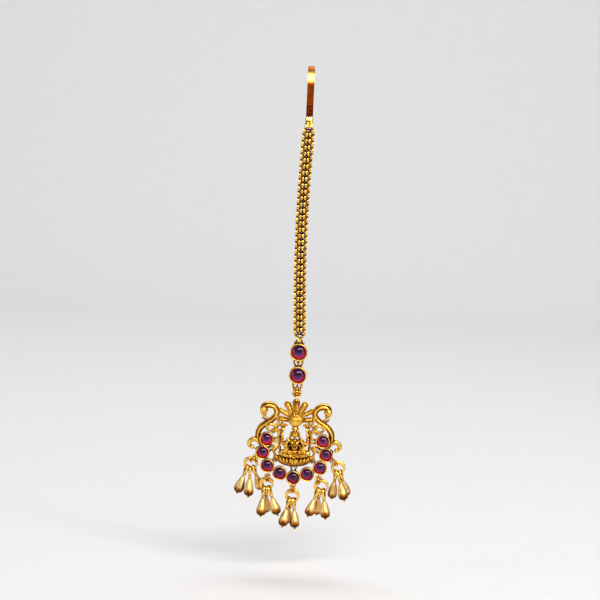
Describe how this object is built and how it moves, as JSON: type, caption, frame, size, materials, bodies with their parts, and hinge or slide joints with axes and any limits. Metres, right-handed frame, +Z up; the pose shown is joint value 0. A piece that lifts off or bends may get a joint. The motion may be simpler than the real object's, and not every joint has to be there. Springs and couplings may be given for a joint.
{
  "type": "maang tikka",
  "caption": "Hair jewel: a hook, two fine box-chain strands, two round stone settings and an openwork pendant with a seated figure, a ring of stones and clusters of teardrops.",
  "frame": {"origin": "inside top of the hook's bend, where the hair or a rod holds it", "axes": "+Z up along the hanging jewel, -Y the front with the stones, +X to the right of a viewer in front"},
  "size_m": [0.0378, 0.0097, 0.1499],
  "materials": {
    "gold": "antique matte gold plating over cast brass, dark patina in the recesses",
    "drop_gold": "satin brushed gold plating",
    "stone": "polished ruby-coloured cabochon"
  },
  "bodies": {
    "hanger": {"chain_left": "gold", "chain_right": "gold", "connector": "gold", "end_ring_left": "gold", "end_ring_right": "gold", "hook": "gold", "link_lower": "gold", "link_upper": "gold", "setting_lower": "gold", "setting_upper": "gold", "stone_lower": "stone", "stone_upper": "stone", "top_ring_left": "gold", "top_ring_right": "gold"},
    "jump_ring": {"jump_ring": "gold"},
    "pendant": {"drop_centre_a": "drop_gold", "drop_centre_b": "drop_gold", "drop_centre_c": "drop_gold", "drop_inner_left_a": "drop_gold", "drop_inner_left_b": "drop_gold", "drop_inner_left_c": "drop_gold", "drop_inner_right_a": "drop_gold", "drop_inner_right_b": "drop_gold", "drop_inner_right_c": "drop_gold", "drop_outer_left_a": "drop_gold", "drop_outer_left_b": "drop_gold", "drop_outer_left_c": "drop_gold", "drop_outer_right_a": "drop_gold", "drop_outer_right_b": "drop_gold", "drop_outer_right_c": "drop_gold", "drop_ring_centre": "gold", "drop_ring_inner_left": "gold", "drop_ring_inner_right": "gold", "drop_ring_outer_left": "gold", "drop_ring_outer_right": "gold", "pendant_frame": "gold", "small_ring_centre_a": "gold", "small_ring_centre_b": "gold", "small_ring_centre_c": "gold", "small_ring_inner_left_a": "gold", "small_ring_inner_left_b": "gold", "small_ring_inner_left_c": "gold", "small_ring_inner_right_a": "gold", "small_ring_inner_right_b": "gold", "small_ring_inner_right_c": "gold", "small_ring_outer_left_a": "gold", "small_ring_outer_left_b": "gold", "small_ring_outer_left_c": "gold", "small_ring_outer_right_a": "gold", "small_ring_outer_right_b": "gold", "small_ring_outer_right_c": "gold", "stone_centre": "stone", "stone_left_1": "stone", "stone_left_2": "stone", "stone_left_3": "stone", "stone_left_4": "stone", "stone_right_1": "stone", "stone_right_2": "stone", "stone_right_3": "stone", "stone_right_4": "stone"}
  },
  "joints": [
    {"name": "pendant_swing", "type": "hinge", "parent": "hanger", "child": "jump_ring", "pos_m": [0, -0.00275, -0.10602], "axis": [1, 0, 0], "range_deg": [-60, 60]},
    {"name": "pendant_sway", "type": "hinge", "parent": "jump_ring", "child": "pendant", "pos_m": [0, -0.00275, -0.10732], "axis": [0, 1, 0], "range_deg": [-25, 25]}
  ]
}
